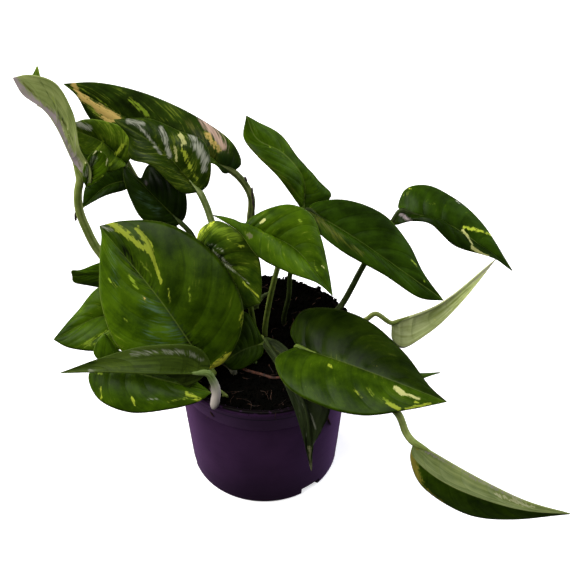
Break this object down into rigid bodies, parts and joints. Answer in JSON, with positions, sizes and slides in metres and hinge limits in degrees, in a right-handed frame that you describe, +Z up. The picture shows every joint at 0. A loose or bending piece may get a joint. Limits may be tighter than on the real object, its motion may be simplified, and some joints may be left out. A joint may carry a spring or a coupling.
{
  "type": "potted pothos plant",
  "caption": "Trailing houseplant with glossy heart-shaped leaves on long bent stalks, growing from peat in a round tapered plastic nursery pot.",
  "frame": {"origin": "centre of the pot's flat underside, on the surface it stands on", "axes": "+Z up along the pot's axis; -Y towards the side first seen; +X along the plant's widest spread, to the right of that side"},
  "size_m": [0.3333, 0.1849, 0.2663],
  "materials": {
    "pot": "smooth moulded plastic, dark purple",
    "soil": "loose damp peat, near black",
    "old_sheath": "dry, dull",
    "root": "dry, dull brown",
    "leaf_bright": "glossy mid green with yellow flecks",
    "leaf_mid": "glossy green",
    "leaf_dark": "glossy deep green",
    "leaf_marbled": "very glossy green with pale marbling",
    "leaf_yellow": "glossy yellow-green",
    "leaf_streaked": "glossy dark green with a cream streak",
    "leaf_pale": "pale green underside, satin"
  },
  "bodies": {
    "root": {"pot": "pot", "soil": "soil", "leaf_upper_left": "leaf_pale", "leaf_top_long": "leaf_streaked", "leaf_glossy_marbled": "leaf_marbled", "leaf_left_streaked": "leaf_dark", "leaf_left_shaded": "leaf_dark", "leaf_dark_back": "leaf_dark", "leaf_upper_centre": "leaf_mid", "leaf_right_dark": "leaf_dark", "leaf_centre_bright": "leaf_mid", "leaf_right_top": "leaf_dark", "leaf_right_pale": "leaf_pale", "leaf_right_front": "leaf_bright", "leaf_right_sliver": "leaf_dark", "leaf_lower_right": "leaf_pale", "leaf_left_front_big": "leaf_bright", "leaf_front_folded": "leaf_pale", "leaf_front_round": "leaf_mid", "leaf_left_low": "leaf_mid", "leaf_left_stub": "leaf_mid", "leaf_centre_yellow": "leaf_yellow", "leaf_hanging_front": "leaf_dark", "leaf_centre_shaded": "leaf_dark", "old_sheath_left": "old_sheath", "old_sheath_back": "old_sheath", "cut_stub": "old_sheath", "surface_root": "root"}
  },
  "joints": []
}
